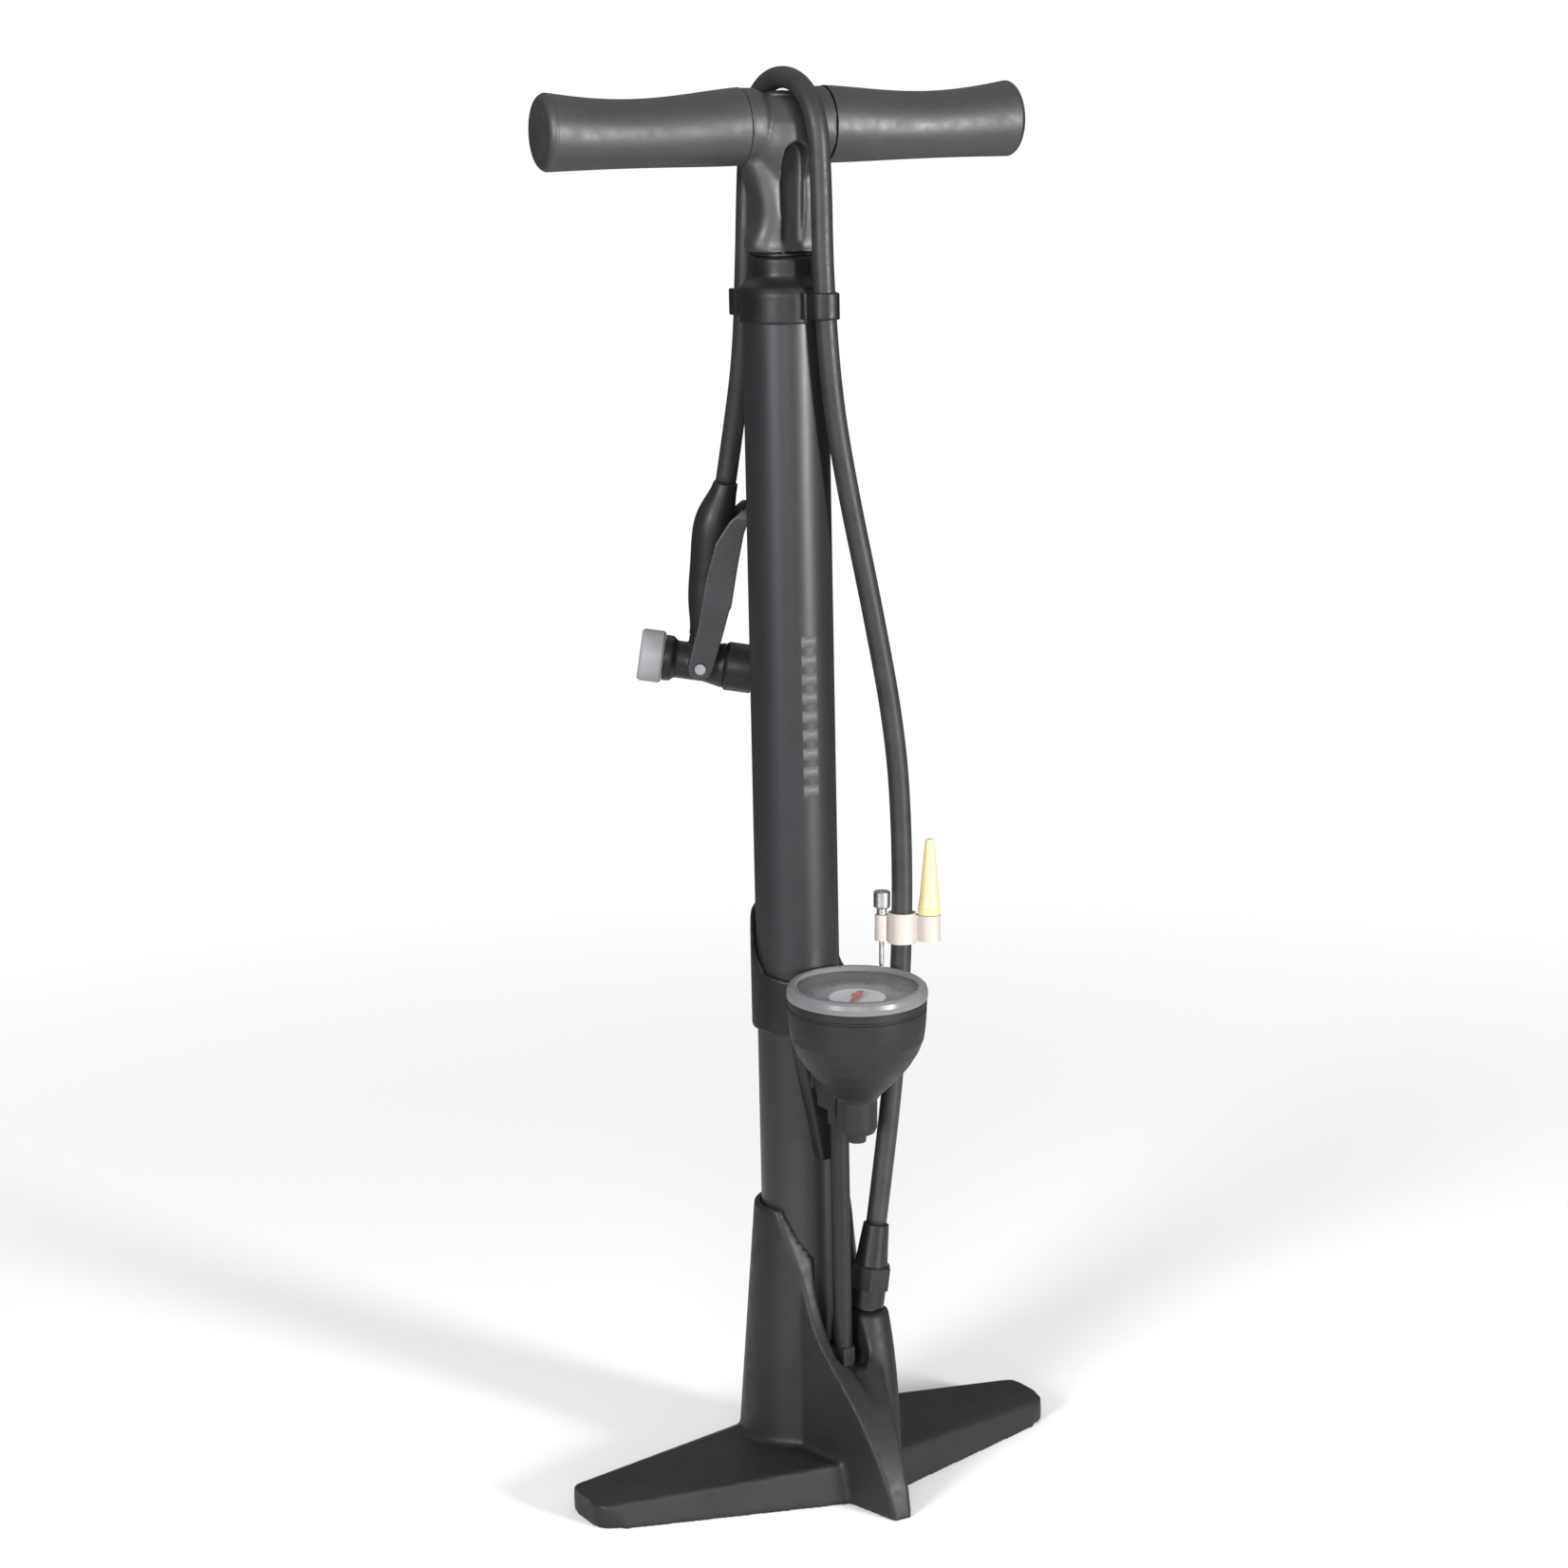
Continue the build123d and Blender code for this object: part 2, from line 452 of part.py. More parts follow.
with BuildPart() as clamp_screws:
    for z in (232, 250):
        with BuildSketch(Plane.YZ.offset(4.5)):
            with Locations((26, z)):
                Circle(3)
        extrude(amount=2.2)
        with BuildSketch(Plane.YZ.offset(-7.5)):
            with Locations((26, z)):
                Circle(1.6)
        extrude(amount=12)
        with BuildSketch(Plane.YZ.offset(-7.3)):
            with Locations((26, z)):
                RegularPolygon(2.9, 6, major_radius=False)
        extrude(amount=2.8)
clamp_screws.part.label = "clamp_screws"
export_step(clamp_screws.part, "parts/clamp_screws.step")

with BuildPart() as gauge_cup:
    inside = [(0, -30), (16, -30), (22, -24), (26.5, -17), (27.2, -10), (27.2, 0)]
    outside = CUP_RIM + CUP_BOWL
    revolve(ring_section(gauge_cut, [(0, CUP_FOOT)] + outside[::-1] + inside[::-1]), axis=gauge_line)
gauge_cup.part.label = "gauge_cup"
export_step(gauge_cup.part, "parts/gauge_cup.step")

with BuildPart() as gauge_bezel:
    revolve(ring_section(gauge_cut, [(29.0, -2.9), (BEZEL_R, -2.9), (BEZEL_R + 0.1, -0.6),
                                     (BEZEL_R - 0.4, 1.4), (BEZEL_R - 1.6, 2.5), (28, 2.6), (27, 1.9),
                                     (27, 1.4), (29.0, 1.4)]), axis=gauge_line)
gauge_bezel.part.label = "gauge_bezel"
export_step(gauge_bezel.part, "parts/gauge_bezel.step")

with BuildPart() as gauge_lens:
    revolve(ring_section(gauge_cut, [(0, 0.1), (28.9, 0.1), (28.9, 1.3), (0, 1.3)]), axis=gauge_line)
gauge_lens.part.label = "gauge_lens"
export_step(gauge_lens.part, "parts/gauge_lens.step")

ARBOR_R, NEEDLE_REST = 0.9, 225                          # the needle rests at lower left
with BuildPart() as gauge_dial:
    revolve(ring_section(gauge_cut, [(ARBOR_R + 0.3, -4.4), (27.1, -4.4), (27.1, -3.6),
                                     (ARBOR_R + 0.3, -3.6)]), axis=gauge_line)
gauge_dial.part.label = "gauge_dial"
export_step(gauge_dial.part, "parts/gauge_dial.step")

MODULE, PINION_TEETH, SECTOR_TEETH, GEAR_TOP = 0.6, 10, 40, -9.0
SECTOR_AT = MODULE * (PINION_TEETH + SECTOR_TEETH) / 2   # the sector's pivot, at local +x


def gear_face(teeth, first, last, phase):
    """Short trapezoid teeth about the sketch's origin, from tooth number first to last."""
    pitch_r, step = MODULE * teeth / 2, 2 * pi / teeth
    outline = []
    for n in range(first, last + 1):
        for turn, out in ((-0.30, -0.75), (-0.14, 0.45), (0.14, 0.45), (0.30, -0.75)):
            a = phase + (n + turn) * step
            outline.append(((pitch_r + out * MODULE) * cos(a), (pitch_r + out * MODULE) * sin(a)))
    return outline


with BuildPart() as gauge_needle:
    with BuildSketch(gauge.offset(-2.9).rotated((0, 0, NEEDLE_REST))):
        Circle(2.6)
        with BuildLine():
            Polyline((-6.5, -1.3), (19.5, -0.35), (20.6, 0), (19.5, 0.35), (-6.5, 1.3), close=True)
        make_face()
    extrude(amount=0.7)
    with BuildSketch(gauge.offset(-13.5)):
        Circle(ARBOR_R)
    extrude(amount=12)
    with BuildSketch(gauge.offset(GEAR_TOP - 1.6)):
        with BuildLine():
            Polyline(*gear_face(PINION_TEETH, 0, PINION_TEETH - 1, pi / PINION_TEETH), close=True)
        make_face()
    extrude(amount=1.6)
gauge_needle.part.label = "gauge_needle"
export_step(gauge_needle.part, "parts/gauge_needle.step")

sector_plane = Plane(origin=gauge.from_local_coords((SECTOR_AT, 0, GEAR_TOP - 1.4)),
                     x_dir=(1, 0, 0), z_dir=gauge.z_dir)
with BuildPart() as sector_gear:
    with BuildSketch(sector_plane):
        with BuildLine():
            Polyline((0, 2.9), *gear_face(SECTOR_TEETH, -9, 2, pi), (-0.9, -2.7), close=True)
        make_face()
        Circle(3)
    extrude(amount=1.2)
    with BuildSketch(sector_plane.offset(-4)):
        Circle(1.1)
    extrude(amount=7)
sector_gear.part.label = "sector_gear"
export_step(sector_gear.part, "parts/sector_gear.step")

with BuildPart() as movement_plate:
    with BuildSketch(gauge.offset(-16)):
        with Locations((3, 0)):
            RectangleRounded(34, 14, 3)
        Circle(ARBOR_R + 0.1, mode=Mode.SUBTRACT)
        with Locations((SECTOR_AT, 0)):
            Circle(1.2, mode=Mode.SUBTRACT)
    extrude(amount=2.2)
    with BuildSketch(gauge.offset(-30)):
        with Locations((-10, 0), (8, 0)):
            Circle(2)
    extrude(amount=14)
movement_plate.part.label = "movement_plate"
export_step(movement_plate.part, "parts/movement_plate.step")

with BuildPart() as bourdon_tube:
    with BuildLine(gauge.offset(-8.2)):
        bend = CenterArc((0, 0), 23.2, 60, 240)
    with BuildSketch(Plane(origin=bend @ 0, z_dir=bend % 0)):
        Circle(1.6)
    sweep(path=bend)
bourdon_tube.part.label = "bourdon_tube"
export_step(bourdon_tube.part, "parts/bourdon_tube.step")

# ---- air pipe to the gauge, with its two gland nuts ----
PIPE_FOOT_Z, PIPE_TOP_Z, NUT_H = TROUGH_FLOOR_Z, 188.0, 8.5
with BuildPart() as gauge_pipe:
    with BuildSketch(Plane.XY.offset(PIPE_FOOT_Z)):
        with Locations(GAUGE_PIPE_AT):
            Circle(PIPE_R)
            Circle(AIR_WAY_R, mode=Mode.SUBTRACT)
    extrude(amount=PIPE_TOP_Z - PIPE_FOOT_Z)
gauge_pipe.part.label = "gauge_pipe"
export_step(gauge_pipe.part, "parts/gauge_pipe.step")

with BuildPart() as pipe_nuts:
    for z in (PIPE_FOOT_Z, 181.9 - NUT_H):
        with BuildSketch(Plane.XY.offset(z)):
            with Locations(GAUGE_PIPE_AT):
                RegularPolygon(5.2, 6, major_radius=False)
                Circle(PIPE_R + BORE_GAP, mode=Mode.SUBTRACT)
        extrude(amount=NUT_H)
pipe_nuts.part.label = "pipe_nuts"
export_step(pipe_nuts.part, "parts/pipe_nuts.step")

# ---- hose outlet: hex coupling and tapered ferrule ----
with BuildPart() as outlet_nut:
    with BuildSketch(outlet.offset(1.5)):
        Circle(8.2)
    extrude(amount=8.4)
    with BuildSketch(outlet.offset(9.9)):
        RegularPolygon(8.8, 6, major_radius=False)
    extrude(amount=11)
    chamfer(outlet_nut.faces().sort_by(Axis.Z)[-1].edges(), 0.8)
    with BuildSketch(outlet.offset(0)):
        Circle(2)
    extrude(amount=30, mode=Mode.SUBTRACT)
outlet_nut.part.label = "outlet_nut"
export_step(outlet_nut.part, "parts/outlet_nut.step")

with BuildPart() as outlet_seal:
    with BuildSketch(outlet.offset(0)):
        Circle(6)
        Circle(2.2, mode=Mode.SUBTRACT)
    extrude(amount=1.5)
    with BuildSketch(Plane.XY.offset(OUTLET_AT[2])):
        with Locations((OUTLET_AT[0], OUTLET_AT[1])):
            Circle(30)
    extrude(amount=10, mode=Mode.INTERSECT)
outlet_seal.part.label = "outlet_seal"
export_step(outlet_seal.part, "parts/outlet_seal.step")

with BuildPart() as hose_ferrule:
    with BuildSketch(outlet.offset(20.9)):
        Circle(7.6)
    with BuildSketch(outlet.offset(40)):
        Circle(5.9)
    loft()
    with BuildSketch(outlet.offset(20.9)):
        Circle(2)
    extrude(amount=20, mode=Mode.SUBTRACT)
hose_ferrule.part.label = "hose_ferrule"
export_step(hose_ferrule.part, "parts/hose_ferrule.step")

# ---- the hose, in two lengths that meet in front of the handle's stem ----
riser_route = RISER_ROUTE + [tuple(split_at)]
with BuildPart() as hose_riser:
    with BuildLine():
        riser = FilletPolyline(*riser_route, radius=arc_radii(riser_route))
    with BuildSketch(Plane(origin=riser @ 0, z_dir=riser % 0)):
        Circle(HOSE_R)
    sweep(path=riser)
hose_riser.part.label = "hose_riser"
export_step(hose_riser.part, "parts/hose_riser.step")

drop_route = [tuple(split_at)] + DROP_ROUTE
with BuildPart() as hose_drop:
    with BuildLine():
        drop = FilletPolyline(*drop_route, radius=arc_radii(drop_route))
    with BuildSketch(Plane(origin=drop @ 0, z_dir=drop % 0)):
        Circle(HOSE_R)
    sweep(path=drop)
hose_drop.part.label = "hose_drop"
export_step(hose_drop.part, "parts/hose_drop.step")

# ---- accessory clip on the hose, with its ball needle and cone adapter ----
clip_low, clip_high = Vector(RISER_ROUTE[3]), Vector(RISER_ROUTE[4])
clip_axis = (clip_high - clip_low).normalized()
clip_across = (ACROSS - clip_axis * ACROSS.dot(clip_axis)).normalized()
clip = Plane(origin=clip_low + (clip_high - clip_low) * 0.3, x_dir=clip_across, z_dir=clip_axis)
NEEDLE_X, CONE_X, CLIP_HALF = -9.2, 12.4, 7.0
with BuildPart() as adapter_clip:
    with BuildSketch(clip.offset(-CLIP_HALF)):
        Circle(6.4)
        Circle(HOSE_R + 0.4, mode=Mode.SUBTRACT)
        with Locations((0, 6)):
            Rectangle(2, 3, mode=Mode.SUBTRACT)
    extrude(amount=2 * CLIP_HALF)
    with BuildSketch(clip.offset(-6)):
        with Locations((CONE_X, 0)):
            Circle(5.2)
        with Locations((NEEDLE_X, 0)):
            Circle(3.2)
        with Locations((-6.4, 0)):
            Rectangle(2, 3)
        with Locations((6.8, 0)):
            Rectangle(2, 4)
    extrude(amount=12)
    with BuildSketch(clip.offset(-10)):
        with Locations((CONE_X, 0)):
            Circle(3.1)
        with Locations((NEEDLE_X, 0)):
            Circle(1.35)
    extrude(amount=20, mode=Mode.SUBTRACT)
adapter_clip.part.label = "adapter_clip"
export_step(adapter_clip.part, "parts/adapter_clip.step")

clip_side = Plane(origin=clip.origin, x_dir=clip.x_dir, z_dir=-clip.y_dir)
needle_line = Axis(clip.from_local_coords((NEEDLE_X, 0, 0)), clip.z_dir)
cone_line = Axis(clip.from_local_coords((CONE_X, 0, 0)), clip.z_dir)
with BuildPart() as ball_needle:
    outline = [(0, -20), (0.6, -19.4), (1.1, -17), (1.1, 6.3), (2.3, 6.3), (2.3, 8.8), (3.1, 9),
               (3.8, 9.8), (3.8, 16.4), (3.2, 17), (0, 17)]
    revolve(ring_section(clip_side, [(NEEDLE_X + r, z) for r, z in outline]), axis=needle_line)
ball_needle.part.label = "ball_needle"
export_step(ball_needle.part, "parts/ball_needle.step")

with BuildPart() as cone_adapter:
    outline = [(0, -5.5), (3.0, -5.5), (3.0, 6.3), (5.1, 6.3), (5.1, 10), (4.4, 14), (2.1, 40),
               (1.5, 41), (0, 41)]
    revolve(ring_section(clip_side, [(CONE_X + r, z) for r, z in outline]), axis=cone_line)
cone_adapter.part.label = "cone_adapter"
export_step(cone_adapter.part, "parts/cone_adapter.step")

# ---- twin-port pump head ----
BODY_R, LEFT_R, RIGHT_R, NECK_R, NECK_FOOT = 8.6, 12.0, 11.2, 7.2, 13.0
LEFT_X, RIGHT_X = (-28.5, -17.2), (11.0, 25.0)
PIVOT_R, ARM_IN, ARM_OUT = 2.5, 11.4, 13.6
NECK_STATIONS = ((NECK_FOOT, 0, NECK_R), (24, -0.8, 8.0), (40, -2.0, 8.8), (58.5, -2.8, 9.3),
                 (68.8, -2.6, 8.8), (77.8, -1.2, 6.9), (NECK_L, 0, HOSE_R + 0.9))
with BuildPart() as head_body:
    revolve(ring_section(head_side, [(-18, 0), (-18, 7), (LEFT_X[1], 7), (LEFT_X[1], 10.6),
                             (-13.6, 10.4), (-11.5, BODY_R), (2, BODY_R), (RIGHT_X[0], 10.4), (RIGHT_X[0], 7),
                             (RIGHT_X[0] + 2, 7), (RIGHT_X[0] + 2, 0)]), axis=port_line)
    with BuildSketch(head):
        Circle(NECK_R - 0.4)
    extrude(amount=NECK_FOOT)
    with BuildSketch(head.offset(NECK_FOOT)):
        Circle(4)
    extrude(amount=10)
    with BuildSketch(head_side):
        Circle(5.6)
    extrude(amount=ARM_IN - 0.3, both=True)
    with BuildSketch(Plane(origin=HEAD_AT, x_dir=head.y_dir, z_dir=port_axis).offset(-40)):
        Circle(2.2)
    extrude(amount=80, mode=Mode.SUBTRACT)
    with BuildSketch(head_side):
        Circle(PIVOT_R + BORE_GAP)
    extrude(amount=30, both=True, mode=Mode.SUBTRACT)
    with BuildSketch(head.offset(5)):
        Circle(1.8)
    extrude(amount=30, mode=Mode.SUBTRACT)
head_body.part.label = "head_body"
export_step(head_body.part, "parts/head_body.step")

with BuildPart() as head_neck:
    for z, shift, r in NECK_STATIONS:
        with BuildSketch(head.offset(z)):
            with Locations((shift, 0)):
                Circle(r)
    loft()
    with BuildSketch(head.offset(NECK_FOOT)):
        Circle(4.1)
    extrude(amount=11, mode=Mode.SUBTRACT)
    with BuildSketch(head.offset(NECK_FOOT)):
        Circle(2)
    extrude(amount=NECK_L, mode=Mode.SUBTRACT)
head_neck.part.label = "head_neck"
export_step(head_neck.part, "parts/head_neck.step")

with BuildPart() as port_cap_left:
    revolve(ring_section(head_side, [(LEFT_X[0], PORT_HOLE_R), (LEFT_X[0], LEFT_R - 1.2),
                             (LEFT_X[0] + 1.2, LEFT_R), (LEFT_X[1] - 1.2, LEFT_R),
                             (LEFT_X[1] - 0.1, LEFT_R - 1), (LEFT_X[1] - 0.1, 7.1), (-26.3, 7.1),
                             (-26.3, PORT_HOLE_R)]), axis=port_line)
port_cap_left.part.label = "port_cap_left"
export_step(port_cap_left.part, "parts/port_cap_left.step")

with BuildPart() as port_cap_right:
    revolve(ring_section(head_side, [(RIGHT_X[1], PORT_HOLE_R), (RIGHT_X[1], RIGHT_R - 1.2),
                             (RIGHT_X[1] - 1.2, RIGHT_R), (RIGHT_X[0] + 1.2, RIGHT_R),
                             (RIGHT_X[0] + 0.1, RIGHT_R - 1), (RIGHT_X[0] + 0.1, 7.1), (22.8, 7.1),
                             (22.8, PORT_HOLE_R)]), axis=port_line)
port_cap_right.part.label = "port_cap_right"
export_step(port_cap_right.part, "parts/port_cap_right.step")

for name, low, high in (("grommet_left", -26.2, -18.1), ("grommet_right", 13.1, 22.7)):
    with BuildPart() as grommet:
        revolve(ring_section(head_side, [(low, GROMMET_R), (low, 7), (high, 7), (high, GROMMET_R)]),
                axis=port_line)
    grommet.part.label = name
    export_step(grommet.part, f"parts/{name}.step")

# ---- lock lever, forked round the head, and its cam pin ----
ARM_OUTLINE = [(-5.6, 0), (-4.5, -3.4), (0, -5.6), (4.6, -3.2), (5.8, 0), (8.0, 16), (9.8, 31),
               (10.1, 50), (11.0, 65), (13.2, 76), (9.0, 76), (4.0, 70), (-1.0, 59), (-3.0, 41),
               (-3.6, 20), (-5, 6)]
SPINE_OUTLINE = [(7.6, 30), (10.2, 30), (10.5, 50), (11.2, 65), (13.6, 77), (18.2, 87),
                 (16.4, 88.6), (12.4, 81), (8.6, 67), (7.7, 52)]
with BuildPart() as lock_lever:
    for side in (1, -1):
        with BuildSketch(head_side.offset(side * ARM_IN)):
            Polygon(*ARM_OUTLINE, align=None)
            Circle(PIVOT_R + BORE_GAP, mode=Mode.SUBTRACT)
        extrude(amount=side * (ARM_OUT - ARM_IN))
    with BuildSketch(head_side):
        Polygon(*SPINE_OUTLINE, align=None)
    extrude(amount=ARM_OUT, both=True)
    with BuildSketch(Plane(origin=HEAD_AT, x_dir=head.y_dir, z_dir=port_axis)):
        Polygon((-ARM_OUT - 1, -30), (-ARM_OUT - 1, 69), (-9, 87), (-9, 93), (9, 93), (9, 87),
                (ARM_OUT + 1, 69), (ARM_OUT + 1, -30), align=None)
    extrude(amount=60, both=True, mode=Mode.INTERSECT)
lock_lever.part.label = "lock_lever"
export_step(lock_lever.part, "parts/lock_lever.step")

with BuildPart() as lever_pin:
    with BuildSketch(head_side):
        Circle(PIVOT_R)
    extrude(amount=ARM_OUT + 0.6, both=True)
lever_pin.part.label = "lever_pin"
export_step(lever_pin.part, "parts/lever_pin.step")

for name, route, tube, solid in (("riser", riser_route, riser, hose_riser),
                                 ("drop", drop_route, drop, hose_drop)):
    share = solid.part.volume / (pi * HOSE_R ** 2 * tube.length)
    print(name, "radii", [round(r) for r in arc_radii(route)], "length", round(tube.length, 1),
          "volume share", round(share, 4))
print("split at", [round(v, 2) for v in split_at])
print("head x", head.x_dir, "y", head.y_dir, "z", head.z_dir)
print("clip origin", clip.origin, "x", clip.x_dir, "z", clip.z_dir)
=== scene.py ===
"""The floor pump's looks: materials, one hose, softened mouldings, the dial's print, a pale studio."""

import json
import math

import bmesh
import bpy
from mathutils import Matrix, Vector

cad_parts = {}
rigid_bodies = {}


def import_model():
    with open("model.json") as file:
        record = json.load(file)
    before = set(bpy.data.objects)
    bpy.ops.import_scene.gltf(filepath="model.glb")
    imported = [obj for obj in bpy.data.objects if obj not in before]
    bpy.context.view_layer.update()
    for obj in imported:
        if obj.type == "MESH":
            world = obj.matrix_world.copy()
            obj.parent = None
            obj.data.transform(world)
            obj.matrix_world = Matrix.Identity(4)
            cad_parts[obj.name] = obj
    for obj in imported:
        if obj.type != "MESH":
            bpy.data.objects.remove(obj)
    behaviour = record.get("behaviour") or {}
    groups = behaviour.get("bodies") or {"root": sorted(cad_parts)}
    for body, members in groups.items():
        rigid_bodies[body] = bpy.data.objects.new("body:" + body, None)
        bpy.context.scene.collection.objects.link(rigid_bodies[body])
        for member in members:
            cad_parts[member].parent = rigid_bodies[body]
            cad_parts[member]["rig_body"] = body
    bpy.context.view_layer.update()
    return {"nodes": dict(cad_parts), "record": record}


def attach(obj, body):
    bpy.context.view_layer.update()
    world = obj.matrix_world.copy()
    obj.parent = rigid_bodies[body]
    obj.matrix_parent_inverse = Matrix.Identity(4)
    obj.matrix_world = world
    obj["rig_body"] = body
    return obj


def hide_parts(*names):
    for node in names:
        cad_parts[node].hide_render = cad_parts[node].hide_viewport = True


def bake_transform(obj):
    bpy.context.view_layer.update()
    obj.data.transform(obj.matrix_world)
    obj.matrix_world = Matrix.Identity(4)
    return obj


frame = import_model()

NODES = frame["nodes"]
scene = bpy.context.scene

# ---- camera ----
CAMERA_AT = (-0.7968, -1.3691, 0.6590)
CAMERA_LOOK = Vector((0.48969, 0.84713, -0.20637))
CAMERA_ROLL = math.radians(1.17)
CAMERA_LENS = 82.15


def make_camera():
    data = bpy.data.cameras.new("camera")
    data.lens, data.sensor_width = CAMERA_LENS, 36.0
    data.clip_start, data.clip_end = 0.05, 60.0
    camera = bpy.data.objects.new("camera", data)
    scene.collection.objects.link(camera)
    turn = CAMERA_LOOK.to_track_quat("-Z", "Y").to_matrix() @ Matrix.Rotation(-CAMERA_ROLL, 3, "Z")
    camera.matrix_world = Matrix.Translation(CAMERA_AT) @ turn.to_4x4()
    scene.camera = camera


make_camera()

# ---- hose ----
HOSE_D = 0.0095
HOSE_SIDES = 28
HOSE_ROUTE = [
    (0.02332, -0.027, 0.1195), (0.02711, -0.027, 0.1432), (0.0344, -0.026, 0.188),
    (0.0404, -0.0248, 0.241), (0.0422, -0.024, 0.295), (0.0396, -0.024, 0.346),
    (0.0276, -0.024, 0.408), (0.0162, -0.0242, 0.459), (0.0082, -0.0246, 0.503),
    (0.0048, -0.0251, 0.556), (0.0047, -0.0253, 0.592), (0.0034, -0.0252, 0.6238),
    (0.0018, -0.0105, 0.6387), (0.0001, 0.0105, 0.6387), (-0.0013, 0.025, 0.6238),
    (-0.0036, 0.0252, 0.592), (-0.0048, 0.0258, 0.558), (-0.0046, 0.0304, 0.517), (-0.0037, 0.0414, 0.4846),
    (-0.006526, 0.045332, 0.458081),
]


def spline_line(route, steps=14):
    """Points along the NURBS line that has the route as its control points."""
    curve = bpy.data.curves.new("line", "CURVE")
    curve.dimensions, curve.resolution_u = "3D", steps
    spline = curve.splines.new("NURBS")
    spline.points.add(len(route) - 1)
    for point, place in zip(spline.points, route):
        point.co = (*place, 1.0)
    spline.order_u, spline.use_endpoint_u = 3, True
    holder = bpy.data.objects.new("line", curve)
    scene.collection.objects.link(holder)
    bpy.context.view_layer.update()
    mesh = bpy.data.meshes.new_from_object(holder.evaluated_get(bpy.context.evaluated_depsgraph_get()))
    line = [v.co.copy() for v in mesh.vertices]
    bpy.data.objects.remove(holder)
    bpy.data.curves.remove(curve)
    bpy.data.meshes.remove(mesh)
    return line


def new_piece(name, mesh_edit):
    """A piece named name, with the bmesh mesh_edit as its mesh, shaded smooth."""
    mesh = bpy.data.meshes.new(name)
    mesh_edit.to_mesh(mesh)
    mesh_edit.free()
    mesh.shade_smooth()
    piece = bpy.data.objects.new(name, mesh)
    scene.collection.objects.link(piece)
    return piece


def tube_along(name, line, radius, sides):
    """A closed round tube that follows line, with its frame carried along so that it doesn't twist."""
    bm = bmesh.new()
    uv = bm.loops.layers.uv.new("along")
    rings, run, runs = [], 0.0, []
    side = Vector((1, 0, 0))
    for i, place in enumerate(line):
        ahead = (line[min(i + 1, len(line) - 1)] - line[max(i - 1, 0)]).normalized()
        side = (side - ahead * side.dot(ahead)).normalized()
        up = ahead.cross(side)
        if i:
            run += (place - line[i - 1]).length
        runs.append(run)
        rings.append([bm.verts.new(place + (side * math.cos(a) + up * math.sin(a)) * radius)
                      for a in (2 * math.pi * k / sides for k in range(sides))])
    for i, (low, high) in enumerate(zip(rings, rings[1:])):
        for k in range(sides):
            j = (k + 1) % sides
            face = bm.faces.new((low[k], low[j], high[j], high[k]))
            corners = ((k, runs[i]), (k + 1, runs[i]), (k + 1, runs[i + 1]), (k, runs[i + 1]))
            for loop, (turn, length) in zip(face.loops, corners):
                loop[uv].uv = (turn / sides, length)
    bm.faces.new(reversed(rings[0]))
    bm.faces.new(rings[-1])
    return new_piece(name, bm)


def make_hose():
    """The hose. The pieces on it are CAD nodes, or the mouldings that stand for them."""
    line = spline_line(HOSE_ROUTE)
    hose = tube_along("hose", line, HOSE_D / 2, HOSE_SIDES)
    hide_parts("hose_riser", "hose_drop")
    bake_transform(hose)
    return hose


# ---- materials ----
def nodes_of(name):
    """A new material, its node tree and its shader."""
    material = bpy.data.materials.new(name)
    material.use_nodes = True
    tree = material.node_tree
    return material, tree, tree.nodes["Principled BSDF"]


def add(tree, kind, **values):
    """A new node, with values for its sockets or its settings."""
    node = tree.nodes.new(kind)
    for key, value in values.items():
        if key in node.inputs:
            node.inputs[key].default_value = value
        else:
            setattr(node, key, value)
    return node


def noise(tree, scale, detail=3.0, stretch=(1, 1, 1)):
    """A noise in the row frame: scale is in features per metre."""
    where = add(tree, "ShaderNodeTexCoord")
    mapping = add(tree, "ShaderNodeMapping")
    mapping.inputs["Scale"].default_value = stretch
    tree.links.new(where.outputs["Object"], mapping.inputs["Vector"])
    texture = add(tree, "ShaderNodeTexNoise", Scale=scale, Detail=detail)
    tree.links.new(mapping.outputs["Vector"], texture.inputs["Vector"])
    return texture.outputs["Fac"]


def ramp(tree, value, low, high, from_low=0.3, from_high=0.7):
    """value, mapped from its own range to low .. high."""
    node = add(tree, "ShaderNodeMapRange")
    for socket, number in zip(node.inputs[1:5], (from_low, from_high, low, high)):
        socket.default_value = number
    tree.links.new(value, node.inputs[0])
    return node.outputs[0]


def mixed(tree, share, a, b):
    """The colours a and b, mixed by share."""
    node = add(tree, "ShaderNodeMix", data_type="RGBA")
    for socket, colour in ((node.inputs[6], a), (node.inputs[7], b)):
        if isinstance(colour, tuple):
            socket.default_value = (*colour, 1.0)
        else:
            tree.links.new(colour, socket)
    tree.links.new(share, node.inputs[0])
    return node.outputs[2]


def tint(colour, by):
    return tuple(min(1.0, c * by) for c in colour)


def bump(tree, shader, height, distance, strength=1.0):
    node = add(tree, "ShaderNodeBump", Strength=strength, Distance=distance)
    tree.links.new(height, node.inputs["Height"])
    tree.links.new(node.outputs["Normal"], shader.inputs["Normal"])


